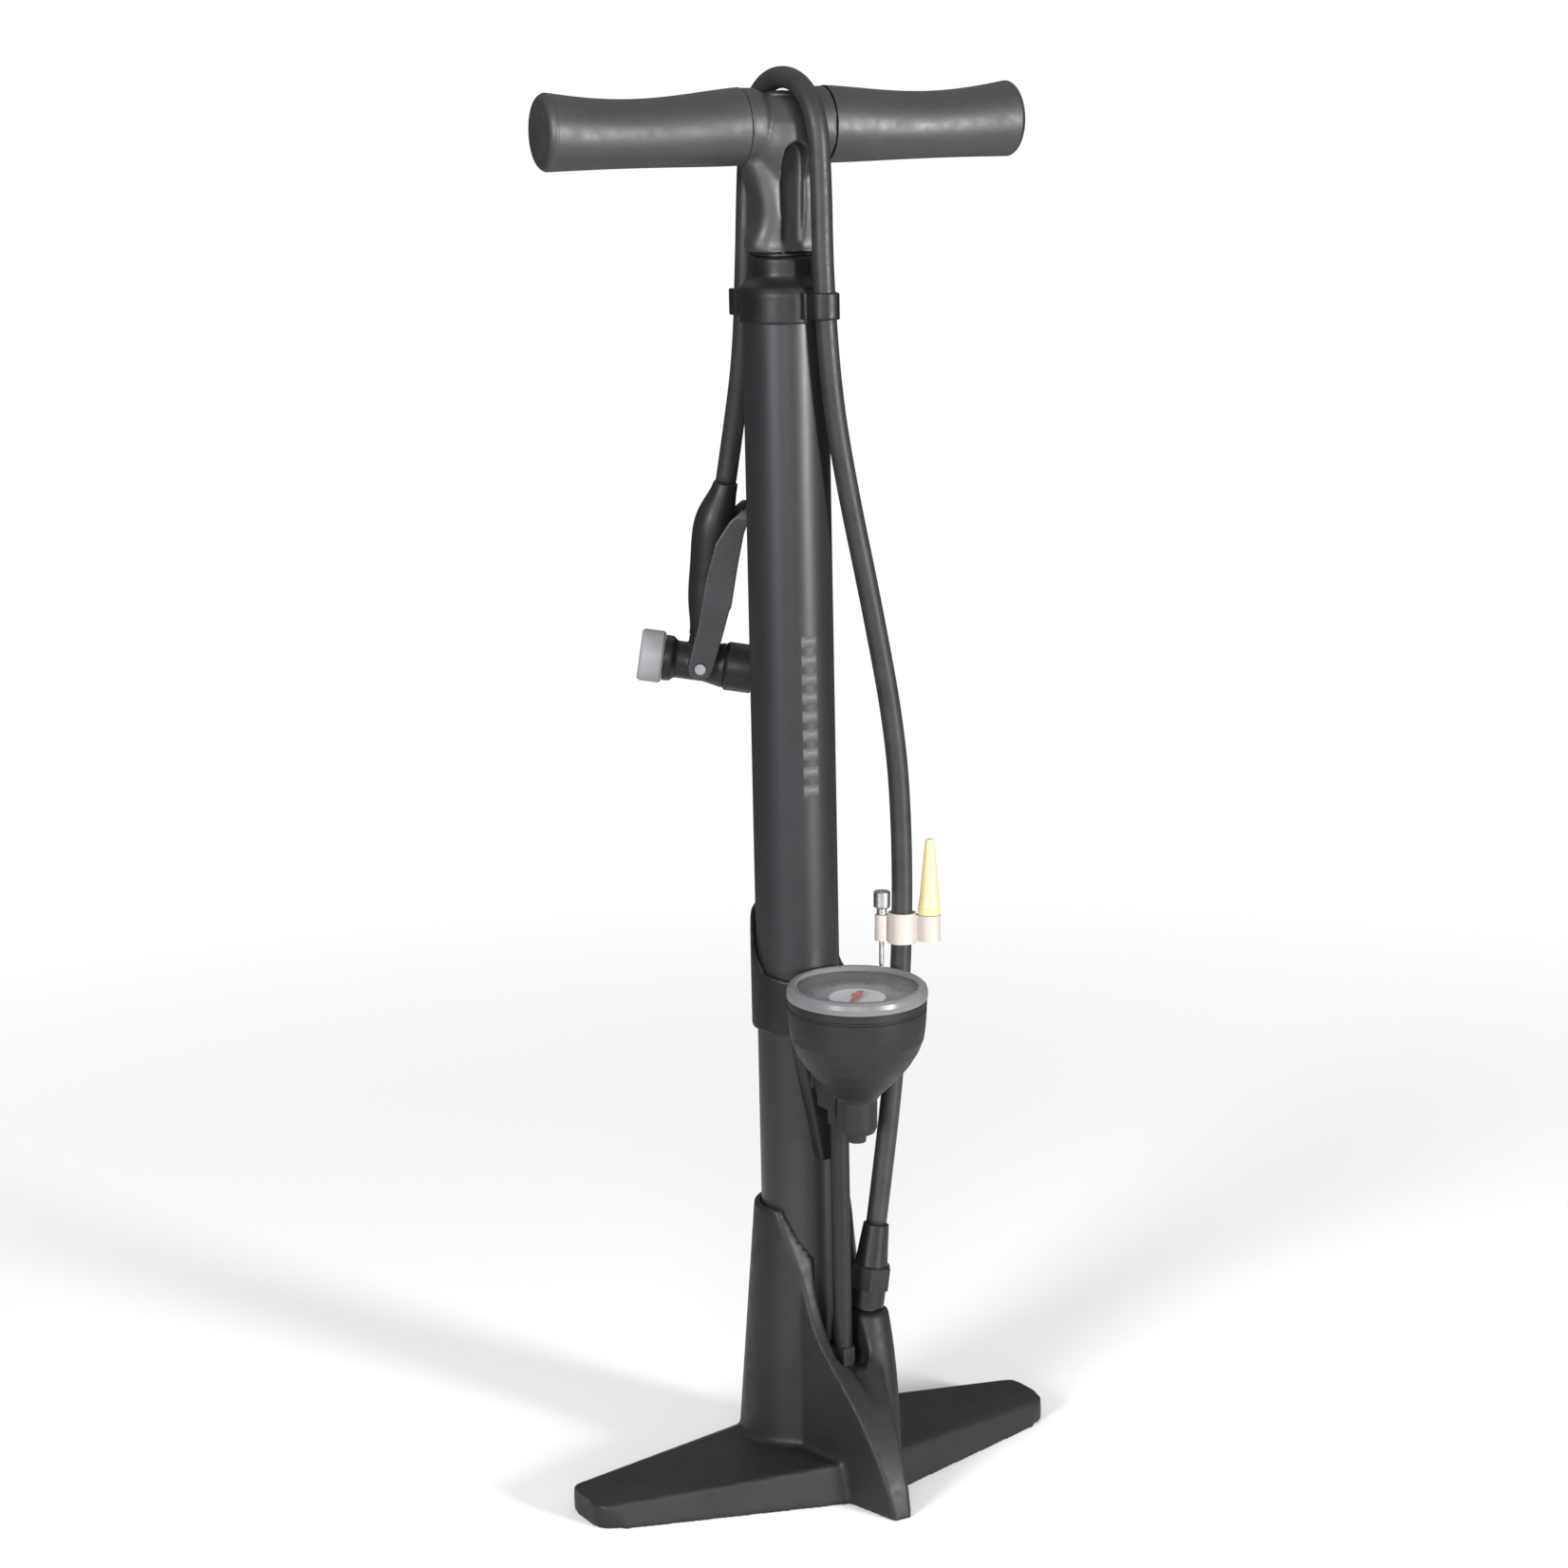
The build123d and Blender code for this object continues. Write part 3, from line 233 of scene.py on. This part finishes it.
def moulded(name, colour, rough, grain=1400.0, depth=0.00002, wear=1.5, shine=0.28):
    """Moulded plastic: fine spark grain, slow colour drift, and edges rubbed a little lighter."""
    material, tree, shader = nodes_of(name)
    drift = mixed(tree, ramp(tree, noise(tree, 45.0), 0, 1), tint(colour, 0.86), tint(colour, 1.12))
    geometry = add(tree, "ShaderNodeNewGeometry")
    edge = ramp(tree, geometry.outputs["Pointiness"], 0, 0.5, 0.52, 0.62)
    tree.links.new(mixed(tree, edge, drift, tint(colour, wear)), shader.inputs["Base Color"])
    tree.links.new(ramp(tree, noise(tree, 160.0), rough - 0.06, rough + 0.07), shader.inputs["Roughness"])
    shader.inputs["Specular IOR Level"].default_value = shine
    bump(tree, shader, noise(tree, grain, 2.0), depth)
    return material


def painted(name, colour, rough, flake=1500.0):
    """Sprayed paint with a fine metal flake under a clear coat."""
    material, tree, shader = nodes_of(name)
    flakes = ramp(tree, noise(tree, flake, 1.0), 0, 1, 0.45, 0.75)
    drift = mixed(tree, ramp(tree, noise(tree, 18.0), 0, 1), tint(colour, 0.95), tint(colour, 1.05))
    tree.links.new(mixed(tree, flakes, drift, tint(colour, 1.15)), shader.inputs["Base Color"])
    tree.links.new(ramp(tree, noise(tree, 60.0), rough - 0.02, rough + 0.03), shader.inputs["Roughness"])
    shader.inputs["Metallic"].default_value = 0.35
    shader.inputs["Specular IOR Level"].default_value = 0.35
    shader.inputs["Coat Weight"].default_value = 0.06
    shader.inputs["Coat Roughness"].default_value = 0.2
    bump(tree, shader, noise(tree, 300.0, 1.0), 0.000003)
    return material


def metal(name, colour, rough, stretch=(1, 1, 40), scale=500.0):
    """Turned or plated metal: faint marks left by the tool, and a little tarnish."""
    material, tree, shader = nodes_of(name)
    drift = mixed(tree, ramp(tree, noise(tree, 120.0), 0, 1), tint(colour, 0.8), tint(colour, 1.08))
    tree.links.new(drift, shader.inputs["Base Color"])
    marks = noise(tree, scale, 2.0, stretch)
    tree.links.new(ramp(tree, marks, rough - 0.06, rough + 0.1), shader.inputs["Roughness"])
    shader.inputs["Metallic"].default_value = 1.0
    bump(tree, shader, marks, 0.000006)
    return material


def rubber(name, colour, rough=0.62):
    """Black rubber with a trace of dust."""
    material, tree, shader = nodes_of(name)
    dust = mixed(tree, ramp(tree, noise(tree, 70.0), 0, 1), colour, tint(colour, 1.5))
    tree.links.new(dust, shader.inputs["Base Color"])
    tree.links.new(ramp(tree, noise(tree, 300.0), rough - 0.07, rough + 0.08), shader.inputs["Roughness"])
    shader.inputs["Specular IOR Level"].default_value = 0.3
    bump(tree, shader, noise(tree, 1800.0, 2.0), 0.00002)
    return material


def clear_plastic(name, colour, rough, through):
    """Clear or milky plastic, with faint flow lines."""
    material, tree, shader = nodes_of(name)
    cloud = mixed(tree, ramp(tree, noise(tree, 150.0), 0, 1), tint(colour, 0.93), colour)
    tree.links.new(cloud, shader.inputs["Base Color"])
    tree.links.new(ramp(tree, noise(tree, 400.0), max(0.02, rough - 0.05), rough + 0.05),
                   shader.inputs["Roughness"])
    shader.inputs["Transmission Weight"].default_value = through
    shader.inputs["IOR"].default_value = 1.49
    bump(tree, shader, noise(tree, 260.0, 1.0), 0.00001)
    return material


def window(name, colour, alpha):
    """A thin clear window: the light passes straight through, and a little is turned back."""
    material, tree, shader = nodes_of(name)
    smear = mixed(tree, ramp(tree, noise(tree, 90.0), 0, 1), tint(colour, 0.94), colour)
    tree.links.new(smear, shader.inputs["Base Color"])
    tree.links.new(ramp(tree, noise(tree, 300.0), 0.04, 0.1), shader.inputs["Roughness"])
    shader.inputs["Alpha"].default_value = alpha
    bump(tree, shader, noise(tree, 120.0, 1.0), 0.00001)
    return material


MATERIALS = {
    "base_plastic": moulded("base_plastic", (0.0105, 0.0105, 0.01), 0.5),
    "barrel_paint": painted("barrel_paint", (0.0255, 0.025, 0.028), 0.4),
    "trim_plastic": moulded("trim_plastic", (0.009, 0.009, 0.0095), 0.4),
    "handle_plastic": moulded("handle_plastic", (0.015, 0.0149, 0.0139), 0.54, shine=0.85),
    "bezel_plastic": moulded("bezel_plastic", (0.14, 0.14, 0.146), 0.32, grain=700.0, depth=0.000006,
                             wear=1.15),
    "gauge_plastic": moulded("gauge_plastic", (0.012, 0.0123, 0.0112), 0.48),
    "lens_clear": window("lens_clear", (0.5, 0.52, 0.54), 0.14),
    "dial_face": moulded("dial_face", (0.72, 0.72, 0.74), 0.45, wear=1.0),
    "needle_red": moulded("needle_red", (0.55, 0.05, 0.03), 0.35, wear=1.1),
    "brass": metal("brass", (0.72, 0.52, 0.24), 0.3),
    "steel": metal("steel", (0.55, 0.55, 0.56), 0.34),
    "rod_chrome": metal("rod_chrome", (0.78, 0.78, 0.79), 0.14),
    "rubber_black": rubber("rubber_black", (0.016, 0.016, 0.016)),
    "hose_rubber": rubber("hose_rubber", (0.019, 0.0193, 0.0205), 0.44),
    "head_plastic": moulded("head_plastic", (0.012, 0.012, 0.0125), 0.42),
    "lever_plastic": moulded("lever_plastic", (0.045, 0.045, 0.048), 0.34, wear=1.3),
    "port_silver": moulded("port_silver", (0.25, 0.25, 0.262), 0.34, wear=1.15),
    "clip_clear": clear_plastic("clip_clear", (0.43, 0.385, 0.35), 0.4, 0.0),
    "cone_yellow": clear_plastic("cone_yellow", (0.66, 0.53, 0.27), 0.36, 0.06),
}


def dress():
    """Each CAD node takes its record slot's material."""
    for row in frame["record"]["subparts"]:
        mesh = NODES[row["node"]].data
        mesh.materials.clear()
        mesh.materials.append(MATERIALS[row["material_slot"]])


SLOTS = {row["node"]: row["material_slot"] for row in frame["record"]["subparts"]}


def stand_for(piece, node):
    """piece takes node's place: its body and its slot's material."""
    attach(piece, NODES[node]["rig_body"])
    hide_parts(node)
    piece.data.materials.clear()
    piece.data.materials.append(MATERIALS[SLOTS[node]])
    return piece


def settled(piece):
    """The piece's mesh with its modifiers applied."""
    mesh = bpy.data.meshes.new_from_object(piece.evaluated_get(bpy.context.evaluated_depsgraph_get()))
    piece.modifiers.clear()
    piece.data = mesh
    mesh.shade_smooth()
    return piece


def soften(node, voxel, rounds):
    """A moulding in place of a CAD node, with its edges and inner corners rounded as a mould leaves them."""
    piece = bpy.data.objects.new(node + "_moulding", NODES[node].data.copy())
    scene.collection.objects.link(piece)
    skin = piece.modifiers.new("skin", "REMESH")
    skin.mode, skin.voxel_size = "VOXEL", voxel
    ease = piece.modifiers.new("ease", "SMOOTH")
    ease.factor, ease.iterations = 0.5, rounds
    bpy.context.view_layer.update()
    return stand_for(settled(piece), node)


def make_spring():
    """The check valve's spring, which its ball pushes shorter as it leaves the seat; here a fixed copy of
    the CAD node's coil, which doesn't shorten.
    """
    spring = bpy.data.objects.new("valve_coil", NODES["valve_spring"].data.copy())
    scene.collection.objects.link(spring)
    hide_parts("valve_spring")
    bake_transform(spring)


MOULDINGS = {           # voxel in metres, smoothing rounds
    "base": (0.0011, 12), "handle_core": (0.0008, 12), "top_cap": (0.0006, 5), "gauge_clamp": (0.0006, 6),
    "head_body": (0.0005, 6), "head_neck": (0.0006, 5), "lock_lever": (0.0005, 6),
}
dress()
make_spring()
mouldings = {node: soften(node, voxel, rounds) for node, (voxel, rounds) in MOULDINGS.items()}
hose = make_hose()
hose.data.materials.append(MATERIALS["hose_rubber"])


# ---- gauge dial: dark scale ring, ticks and numbers ----
GAUGE_AT = Vector((0.0, -0.052, 0.2403))
GAUGE_TILT = math.radians(2.0)
GAUGE_FRAME = Matrix.Translation(GAUGE_AT) @ Matrix.Rotation(GAUGE_TILT, 4, "X")
DIAL_TOP = -0.0036
PRINT = 0.00012                 # how thick the print is
BAND_IN_R, BAND_OUT_R = 0.0128, 0.0268
TICK_OUT_R = 0.0262
LONG_TICK, SHORT_TICK = (0.0024, 0.00042), (0.0013, 0.00022)    # length, width
NUMBER_R, NUMBER_H = 0.0208, 0.0038
SCALE_FROM, SCALE_SPAN = 225.0, 270.0                            # degrees
SCALE_STEPS, STEPS_PER_NUMBER, NUMBER_STEP = 48, 8, 2


def ring(name, inner, outer, low, high, sides=96):
    """A flat ring about the gauge's axis."""
    bm = bmesh.new()
    loops = []
    for radius, z in ((inner, low), (outer, low), (outer, high), (inner, high)):
        loops.append([bm.verts.new((radius * math.cos(a), radius * math.sin(a), z))
                      for a in (2 * math.pi * k / sides for k in range(sides))])
    for first, second in zip(loops, loops[1:] + loops[:1]):
        for k in range(sides):
            j = (k + 1) % sides
            bm.faces.new((first[k], first[j], second[j], second[k]))
    bm.transform(GAUGE_FRAME)
    return new_piece(name, bm)


def make_ticks():
    bm = bmesh.new()
    for step in range(SCALE_STEPS + 1):
        size = Vector((*(SHORT_TICK if step % STEPS_PER_NUMBER else LONG_TICK), PRINT))
        turn = Matrix.Rotation(math.radians(SCALE_FROM - SCALE_SPAN * step / SCALE_STEPS), 4, "Z")
        place = Matrix.Translation((TICK_OUT_R - size.x / 2, 0, DIAL_TOP + 1.5 * PRINT))
        bmesh.ops.create_cube(bm, size=1.0, matrix=turn @ place @ Matrix.Diagonal((*size, 1.0)))
    bm.transform(GAUGE_FRAME)
    piece = new_piece("dial_ticks", bm)
    piece.data.shade_flat()
    return piece


def make_number(value, angle):
    curve = bpy.data.curves.new(f"dial_number_{value}", "FONT")
    curve.body, curve.size, curve.extrude = str(value), NUMBER_H, PRINT / 2
    curve.align_x, curve.align_y = "CENTER", "CENTER"
    holder = bpy.data.objects.new("number", curve)
    scene.collection.objects.link(holder)
    bpy.context.view_layer.update()
    mesh = bpy.data.meshes.new_from_object(holder.evaluated_get(bpy.context.evaluated_depsgraph_get()))
    bpy.data.objects.remove(holder)
    where = Matrix.Translation((NUMBER_R * math.cos(angle), NUMBER_R * math.sin(angle),
                                DIAL_TOP + 1.5 * PRINT))
    mesh.transform(GAUGE_FRAME @ where)
    piece = bpy.data.objects.new(f"dial_number_{value}", mesh)
    scene.collection.objects.link(piece)
    return piece


def make_dial_print():
    ink = moulded("dial_ink", (0.15, 0.152, 0.16), 0.5, wear=1.0)
    chalk = moulded("dial_chalk", (0.02, 0.02, 0.02), 0.5, wear=1.0)
    band = ring("dial_band", BAND_IN_R, BAND_OUT_R, DIAL_TOP, DIAL_TOP + PRINT)
    band.data.materials.append(ink)
    marks = [make_ticks()]
    for n in range(SCALE_STEPS // STEPS_PER_NUMBER + 1):
        angle = math.radians(SCALE_FROM - SCALE_SPAN * n * STEPS_PER_NUMBER / SCALE_STEPS)
        marks.append(make_number(NUMBER_STEP * n, angle))
    for piece in marks:
        piece.data.materials.clear()
        piece.data.materials.append(chalk)
    for piece in [band, *marks]:
        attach(piece, "frame")


make_dial_print()


# ---- plain bars down the barrel's front ----
BARREL_R = 0.019
BARS_LOW, BARS_HIGH, BARS, BAR_SHARE = 0.3225, 0.3985, 9, 0.62    # BAR_SHARE of each pitch is bar
BARS_MIDDLE, BARS_HALF = math.radians(-96), 0.2                  # directions about the barrel, in radians
BAR_THICK, BAR_SIDES = 0.00005, 10


def add_bar(bm, low, high):
    """One curved plate, from low to high, lying on the barrel."""
    turns = [BARS_MIDDLE + BARS_HALF * (2 * k / BAR_SIDES - 1) for k in range(BAR_SIDES + 1)]
    (a0, a1), (b0, b1) = [[[bm.verts.new((radius * math.cos(a), radius * math.sin(a), z)) for a in turns]
                           for z in (low, high)] for radius in (BARREL_R, BARREL_R + BAR_THICK)]
    for k in range(BAR_SIDES):
        bm.faces.new((b0[k], b0[k + 1], b1[k + 1], b1[k]))
        bm.faces.new((a1[k], a1[k + 1], a0[k + 1], a0[k]))
        bm.faces.new((a0[k], a0[k + 1], b0[k + 1], b0[k]))
        bm.faces.new((b1[k], b1[k + 1], a1[k + 1], a1[k]))
    bm.faces.new((a0[0], b0[0], b1[0], a1[0]))
    bm.faces.new((a1[-1], b1[-1], b0[-1], a0[-1]))


def make_bars():
    """A column of plain painted blocks."""
    pitch = (BARS_HIGH - BARS_LOW) / BARS
    bm = bmesh.new()
    for n in range(BARS):
        low = BARS_LOW + n * pitch
        add_bar(bm, low, low + BAR_SHARE * pitch)
    bars = new_piece("barrel_bars", bm)
    bars.data.materials.append(moulded("bar_paint", (0.085, 0.085, 0.088), 0.5, wear=1.0))
    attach(bars, "frame")


make_bars()


# ---- room ----
WALLS, CEILING, BACKDROP = 0.09, 0.62, 1.0
FLOOR_HALF = 15.0
FLOOR_FADE = (0.35, 1.1)         # the pale floor fades into the backdrop between these distances
LIGHTS = {                       # place, target, size in metres, power in watts, colour
    "key": ((-2.26, -1.1, 0.95), (0, 0, 0.4), 0.8, 66, (0.95, 0.97, 1.0)),
    "side": ((0.86, -2.3, 0.55), (0, 0, 0.25), 0.45, 88, (1.0, 0.985, 0.96)),
    "front": ((-1.3, -2.2, 0.9), (0, 0, 0.4), 1.2, 26, (1, 1, 1)),
}


def area_light(name, place, target, size, power, colour):
    data = bpy.data.lights.new(name, "AREA")
    data.shape, data.size, data.energy, data.color = "DISK", size, power, colour
    light = bpy.data.objects.new(name, data)
    light.location = place
    light.rotation_euler = (Vector(target) - Vector(place)).to_track_quat("-Z", "Y").to_euler()
    scene.collection.objects.link(light)


def make_floor():
    """A pale paper floor that fades out into the backdrop."""
    bm = bmesh.new()
    bmesh.ops.create_grid(bm, x_segments=1, y_segments=1, size=FLOOR_HALF)
    floor = new_piece("floor", bm)
    material, tree, shader = nodes_of("floor_paper")
    tree.links.new(mixed(tree, noise(tree, 3.0), (0.92, 0.92, 0.915), (0.94, 0.94, 0.935)),
                   shader.inputs["Base Color"])
    shader.inputs["Roughness"].default_value = 0.85
    shader.inputs["Specular IOR Level"].default_value = 0.1
    where = add(tree, "ShaderNodeTexCoord")
    reach = add(tree, "ShaderNodeVectorMath", operation="LENGTH")
    tree.links.new(where.outputs["Object"], reach.inputs[0])
    blend = add(tree, "ShaderNodeMixShader")
    tree.links.new(ramp(tree, reach.outputs["Value"], 0, 1, *FLOOR_FADE), blend.inputs[0])
    tree.links.new(shader.outputs[0], blend.inputs[1])
    tree.links.new(add(tree, "ShaderNodeBsdfTransparent").outputs[0], blend.inputs[2])
    tree.links.new(blend.outputs[0], tree.nodes["Material Output"].inputs["Surface"])
    floor.data.materials.append(material)


def make_world():
    """Pale to the camera. To the object, a bright ceiling over dim walls."""
    world = bpy.data.worlds.new("studio")
    world.use_nodes = True
    tree = world.node_tree
    where = add(tree, "ShaderNodeTexCoord")
    split = add(tree, "ShaderNodeSeparateXYZ")
    tree.links.new(where.outputs["Generated"], split.inputs[0])
    path = add(tree, "ShaderNodeLightPath")
    seen = add(tree, "ShaderNodeMix", data_type="FLOAT")
    tree.links.new(path.outputs["Is Camera Ray"], seen.inputs[0])
    tree.links.new(ramp(tree, split.outputs["Z"], WALLS, CEILING, 0.2, 0.65), seen.inputs[2])
    seen.inputs[3].default_value = BACKDROP
    background = tree.nodes["Background"]
    background.inputs["Color"].default_value = (1, 1, 1, 1)
    tree.links.new(seen.outputs[0], background.inputs["Strength"])
    scene.world = world
    scene.view_settings.view_transform = "Standard"


make_floor()
make_world()
for name, light in LIGHTS.items():
    area_light(name, *light)
